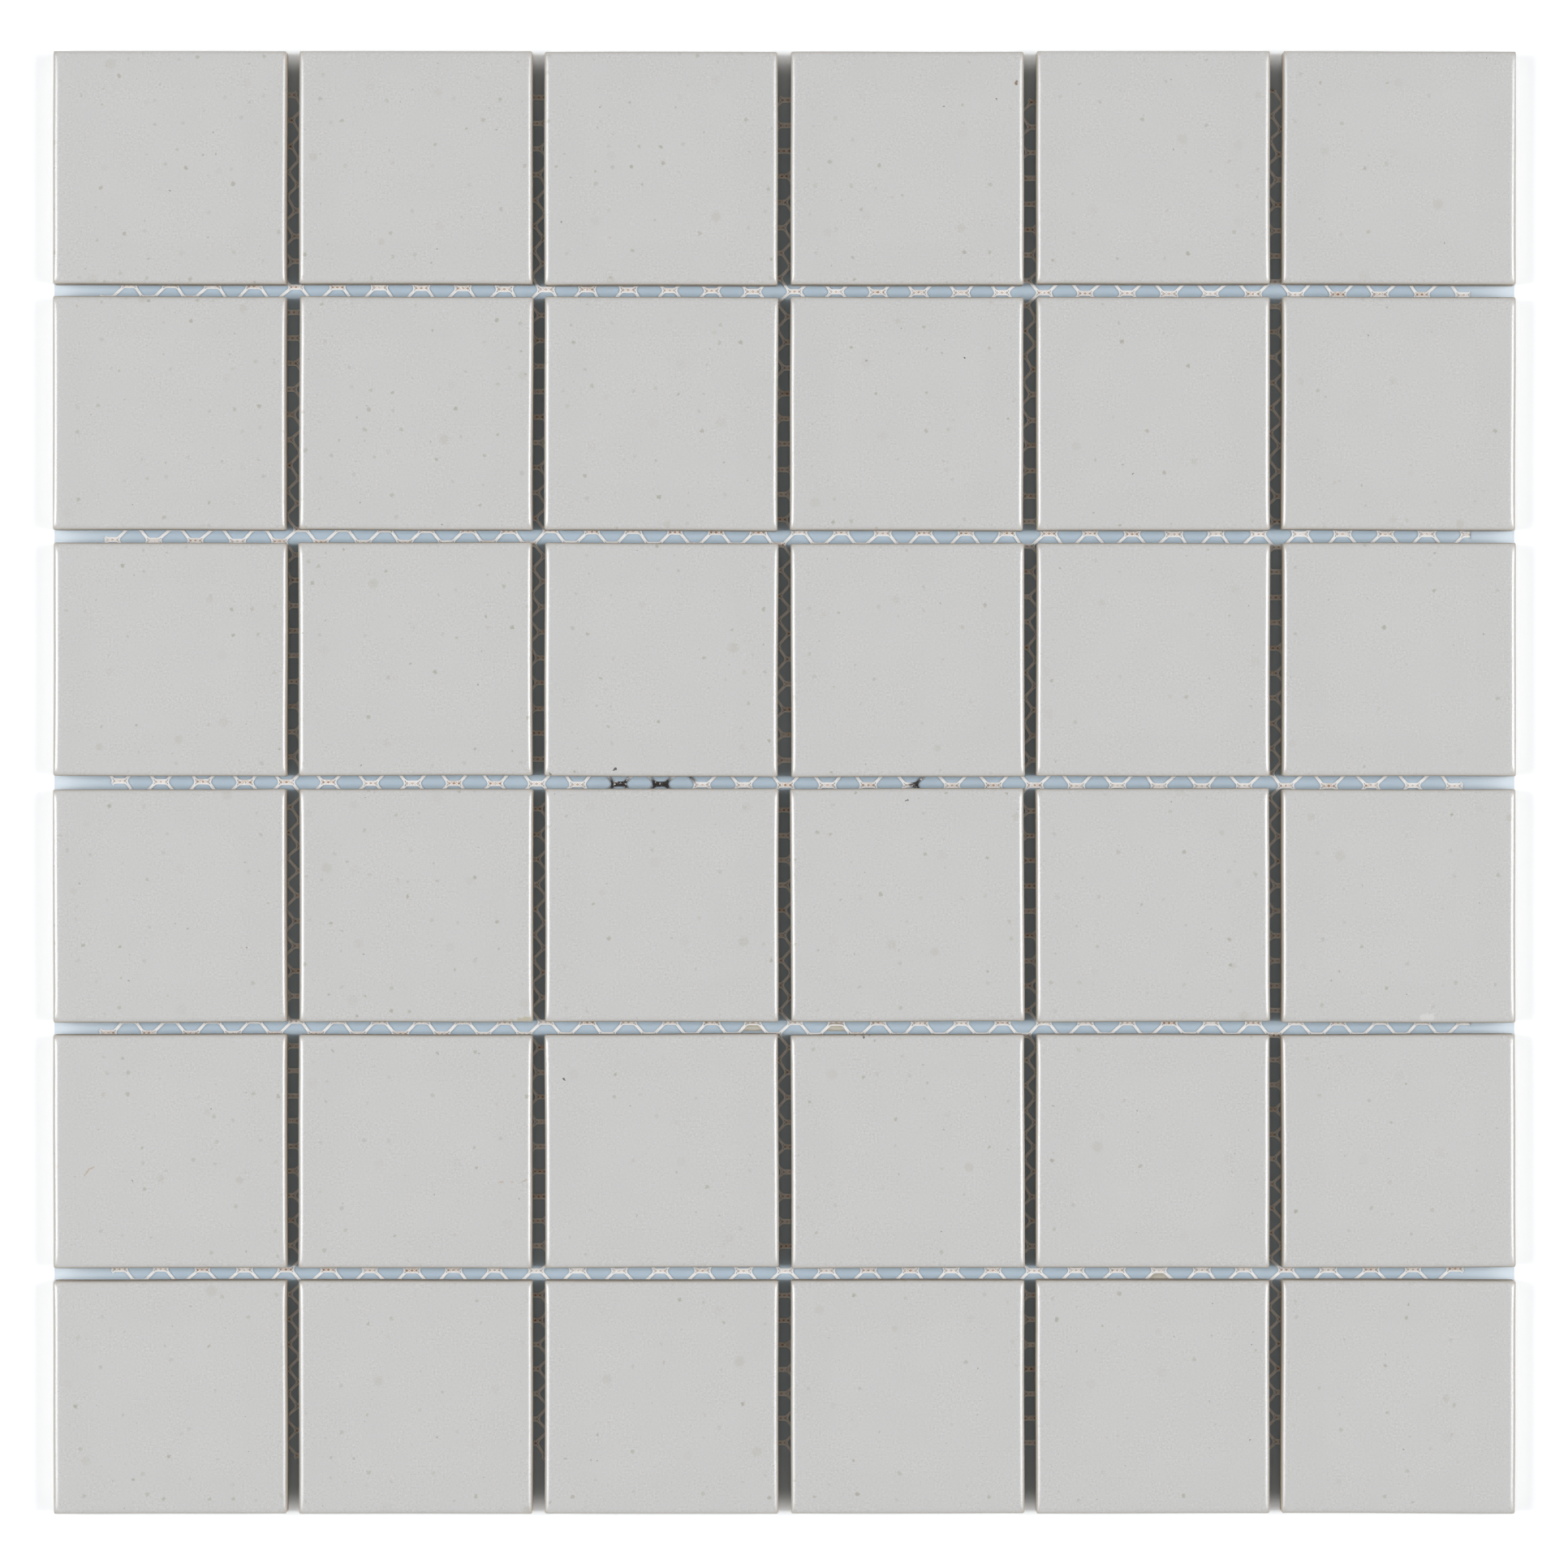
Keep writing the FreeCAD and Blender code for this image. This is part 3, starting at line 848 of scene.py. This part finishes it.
def tubes(name, paths, sides, flatness, material):
    """One piece of many yarns, open or closed, carrying rust and stains for the material.

    A path's points hold a place, a height, half the yarn's width there and its rust.
    """
    points, faces, ends, rust = [], [], [], []
    first = 0
    ring = np.arange(sides)
    turn = math.pi / 2 + (ring - 0.5) / sides * 2 * math.pi
    corner = 1 / max(np.abs(np.cos(turn)))
    cos, sin = np.cos(turn)[None, :, None], np.sin(turn)[None, :, None]
    for path in paths:
        closed = path[0] == path[-1]
        path = np.array(path[:-1] if closed else path)
        middle = path[:, :3]
        count = len(path)
        if closed:
            along = np.roll(middle, -1, axis=0) - np.roll(middle, 1, axis=0)
        else:
            along = np.gradient(middle, axis=0)
        along /= np.linalg.norm(along, axis=1)[:, None]
        across = np.cross(along, (0.0, 0.0, 1.0))
        across /= np.linalg.norm(across, axis=1)[:, None]
        over = np.cross(across, along) * flatness
        round_it = cos * across[:, None] + sin * over[:, None]
        around = corner * path[:, 3, None, None] * round_it
        points.append((middle[:, None] + around).reshape(-1, 3))
        rust.append(np.repeat(path[:, 4], sides))
        here = np.arange(count if closed else count - 1)[:, None]
        near = first + here * sides + ring
        far = first + (here + 1) % count * sides + ring
        beside = (ring + 1) % sides - ring
        faces.append(np.stack([near, far, far + beside, near + beside], axis=-1).reshape(-1, 4))
        if not closed:
            ends.append((first + ring).tolist())
            ends.append((first + (count - 1) * sides + ring[::-1]).tolist())
        first += count * sides
    points = np.concatenate(points)
    points[:, 0] = np.clip(points[:, 0], net_low.x, net_high.x)
    points[:, 1] = np.clip(points[:, 1], net_low.y, net_high.y)
    faces = np.concatenate(faces).tolist() + ends
    piece = make_piece(name, points, faces, ["mesh_backing"])
    for attribute, amounts in (("rust", np.concatenate(rust)), ("stain", stained(points))):
        layer = piece.data.attributes.new(attribute, "FLOAT", "POINT")
        layer.data.foreach_set("value", amounts)
    piece.data.set_sharp_from_angle(angle=YARN_SHARP_ANGLE)
    piece.data.materials.append(material)


def make_net(material):
    """The knitted net: yarns round the cells, side by side in the legs, with laces in each knot."""
    knots = lay_out_knots()
    cells = list(cell_yarns(knots))
    third = len(cells) // 3
    tubes("net_cells_left", cells[:third], YARN_SIDES, YARN_FLATNESS, material)
    tubes("net_cells_middle", cells[third:-third], YARN_SIDES, YARN_FLATNESS, material)
    tubes("net_cells_right", cells[-third:], YARN_SIDES, YARN_FLATNESS, material)
    laces = [lace_yarn(knot, side) for knot in knots.values() for side in (1, -1)]
    tubes("net_laces", laces, LACE_SIDES, LACE_FLATNESS, material)
    # The cores carry painted shade inside each knot as well as rust.
    cores = [core_yarn(knot) for knot in knots.values()]
    tubes("net_cores_and_shade", cores, YARN_SIDES, CORE_FLATNESS, material)


# Adhesive.

DAB_LENGTH = 9.0 * MM
DAB_END_GAP = 7.0 * MM
DAB_POINTS = 24
# Each ring of a dab from the groove's ceiling down to the floor: its height above the floor and
# how far it spreads. Above the tile's back it stays inside the groove.
DAB_RINGS = (
    (1.0 * MM, 0.86),
    (0.93 * MM, 0.98),
    (0.42 * MM, 0.99),
    (0.36 * MM, 1.10),
    (0.20 * MM, 1.16),
    (0.08 * MM, 1.02),
    (0.03 * MM, 0.62),
)
# How far a dab strays along and across its groove, and how much its size differs.
DAB_STRAY_ALONG = 0.6 * MM
DAB_STRAY_ACROSS = 0.15 * MM
DAB_SIZES = (0.88, 1.06)
# The power of a dab's outline: 2 is an ellipse, and more is squarer. Waves run round it: how many
# crests each has, and how deep it may be as a share of the dab's reach.
DAB_POWER = 3
DAB_WAVES = (2, 3, 5)
DAB_WAVE_DEPTHS = (0.02, 0.07)
# Films of adhesive that fill the space under a knot: x and y of the knot in the photograph.
FILM_KNOTS_PX = ((927, 1258), (1030, 1258), (1429, 1565))
FILM_HALF_WIDTH = 2.2 * MM
FILM_DROP = 2.1 * MM
FILM_POINTS = 14
# The power that makes a film's arch flatter than half a wave.
FILM_POWER = 0.7


def dab_places():
    """The middle of every dab: five to a tile, in its keying grooves."""
    out = GROOVE_LENGTH / 2 - DAB_END_GAP - DAB_LENGTH / 2
    corners = [(side * out, row * GROOVE_PITCH) for row in (-1, 1) for side in (-1, 1)]
    for row in range(1, ROWS + 1):
        for column in range(1, COLUMNS + 1):
            low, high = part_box(f"tile_r{row}_c{column}")
            middle = (low + high) / 2
            for across, along in [(0, 0)] + corners:
                yield middle.x + across, middle.y + along


def dab_mesh(place, chance):
    """Rings of one dab: squeezed in its groove, spread under the tile and slumped on the yarns."""
    waves = []
    for rate in DAB_WAVES:
        waves.append((rate, chance.uniform(*DAB_WAVE_DEPTHS), chance.uniform(*WAVE_STARTS)))
    x = place[0] + chance.uniform(-DAB_STRAY_ALONG, DAB_STRAY_ALONG)
    y = place[1] + chance.uniform(-DAB_STRAY_ACROSS, DAB_STRAY_ACROSS)
    size = chance.uniform(*DAB_SIZES)
    points = []
    for level, spread in DAB_RINGS:
        for step in range(DAB_POINTS):
            angle = step / DAB_POINTS * 2 * math.pi
            cos, sin = math.cos(angle), math.sin(angle)
            square = (abs(cos) ** DAB_POWER + abs(sin) ** DAB_POWER) ** (-1 / DAB_POWER)
            wave = 1 + sum(depth * math.sin(rate * angle + start) for rate, depth, start in waves)
            reach = size * spread * square * wave
            across = cos * DAB_LENGTH / 2 * reach
            along = sin * GROOVE_WIDTH / 2 * reach
            if level > TILE_BACK:
                along = min(max(along, -GROOVE_WIDTH / 2), GROOVE_WIDTH / 2)
            points.append((x + across, y + along, level))
    faces = []
    for ring in range(len(DAB_RINGS) - 1):
        for step in range(DAB_POINTS):
            near = ring * DAB_POINTS + step
            far = ring * DAB_POINTS + (step + 1) % DAB_POINTS
            faces.append((near, near + DAB_POINTS, far + DAB_POINTS, far))
    faces.append(tuple(range(DAB_POINTS)))
    faces.append(tuple(range(len(points) - 1, len(points) - 1 - DAB_POINTS, -1)))
    return points, faces


def film_mesh(knot):
    """A thin film that hangs between the two legs under a knot, as a low arch."""
    x, y = photo_to_net(*knot)
    top, bottom = [], []
    for step in range(FILM_POINTS):
        angle = step / (FILM_POINTS - 1) * math.pi
        across = x + FILM_HALF_WIDTH * math.cos(angle)
        along = y - FILM_DROP + (FILM_DROP - EDGE_RISE) * math.sin(angle) ** FILM_POWER
        top.append((across, along, HIGH_LEVEL))
        bottom.append((across, along, LOW_LEVEL))
    points = top + bottom
    faces = [tuple(range(FILM_POINTS)), tuple(range(2 * FILM_POINTS - 1, FILM_POINTS - 1, -1))]
    for step in range(FILM_POINTS):
        far = (step + 1) % FILM_POINTS
        faces.append((step, FILM_POINTS + step, FILM_POINTS + far, far))
    return points, faces


def make_adhesive(material):
    """Every dab and film of adhesive as one piece."""
    chance = random.Random(DAB_SEED)
    points, faces = [], []
    lumps = [dab_mesh(place, chance) for place in dab_places()]
    lumps += [film_mesh(knot) for knot in FILM_KNOTS_PX]
    for lump_points, lump_faces in lumps:
        first = len(points)
        points += lump_points
        faces += [tuple(first + number for number in face) for face in lump_faces]
    piece = make_piece("adhesive", points, faces, ["adhesive_dabs"])
    piece.data.materials.append(material)


# Studio.

CAMERA_HEIGHT = 1.55
SENSOR_WIDTH = 36
CLIP_END = 20
FLOOR_HALF = 4.0
# A softbox stands this far from the sheet, up to the side and turned to it, and is this tall.
LAMP_AWAY = 2.6
LAMP_TILT = math.radians(45)
LAMP_HEIGHT = 1.25
# The softboxes on each side: their name, length along the sheet and power.
SOFTBOXES = (("softbox", 0.7, 30), ("wide_softbox", 2.4, 14.5))
# The world's light on things: a little warm and weak. Seen straight, it is plain white.
WORLD_COLOUR = (1.0, 0.95, 0.88, 1)
WORLD_STRENGTH = 0.16


def make_camera():
    """Straight above the sheet, with the photograph's frame on the plane of the glazed faces."""
    data = bpy.data.cameras.new("camera")
    data.sensor_width = SENSOR_WIDTH
    data.lens = SENSOR_WIDTH * CAMERA_HEIGHT / (PHOTO_SIDE * PIXEL)
    data.clip_end = CLIP_END
    camera = link(bpy.data.objects.new("camera", data))
    x, y, _ = photo_to_face(PHOTO_SIDE / 2, PHOTO_SIDE / 2)
    camera.location = (x, y, TILE_TOP + CAMERA_HEIGHT)
    bpy.context.scene.camera = camera


def make_floor():
    """A square floor on which the sheet lies."""
    corners = [(x * FLOOR_HALF, y * FLOOR_HALF, 0) for x, y in ((-1, -1), (1, -1), (1, 1), (-1, 1))]
    mesh = bpy.data.meshes.new("floor")
    mesh.from_pydata(corners, [], [(0, 1, 2, 3)])
    floor = link(bpy.data.objects.new("floor", mesh))
    floor.data.materials.append(floor_material(cad_high.x))


def make_light(name, side, length, power):
    """A softbox to one side, turned to the sheet."""
    data = bpy.data.lights.new(name, "AREA")
    data.shape = "RECTANGLE"
    data.size = LAMP_HEIGHT
    data.size_y = length
    data.energy = power
    lamp = link(bpy.data.objects.new(name, data))
    across = side * LAMP_AWAY * math.sin(LAMP_TILT)
    lamp.location = (across, 0, LAMP_AWAY * math.cos(LAMP_TILT))
    lamp.rotation_euler = (0, side * LAMP_TILT, 0)


def make_world():
    """A plain world, weak as a light and white where it is seen."""
    world = bpy.data.worlds.new("studio")
    world.use_nodes = True
    tree = world.node_tree
    background = tree.nodes["Background"]
    straight = seen_straight(tree)
    colour = mix(tree, straight, WORLD_COLOUR, (1, 1, 1, 1))
    strength = ramp(tree, straight, 0, 1, WORLD_STRENGTH, 1.0)
    tree.links.new(colour, background.inputs["Color"])
    tree.links.new(strength, background.inputs["Strength"])
    bpy.context.scene.world = world


make_camera()
make_floor()
for side, side_name in ((-1, "left"), (1, "right")):
    for lamp_name, length, power in SOFTBOXES:
        make_light(f"{lamp_name}_{side_name}", side, length, power)
make_world()
bpy.context.scene.view_settings.view_transform = "Standard"
make_tiles(glazed_tile_material())
make_net(yarn_material())
make_adhesive(adhesive_material())
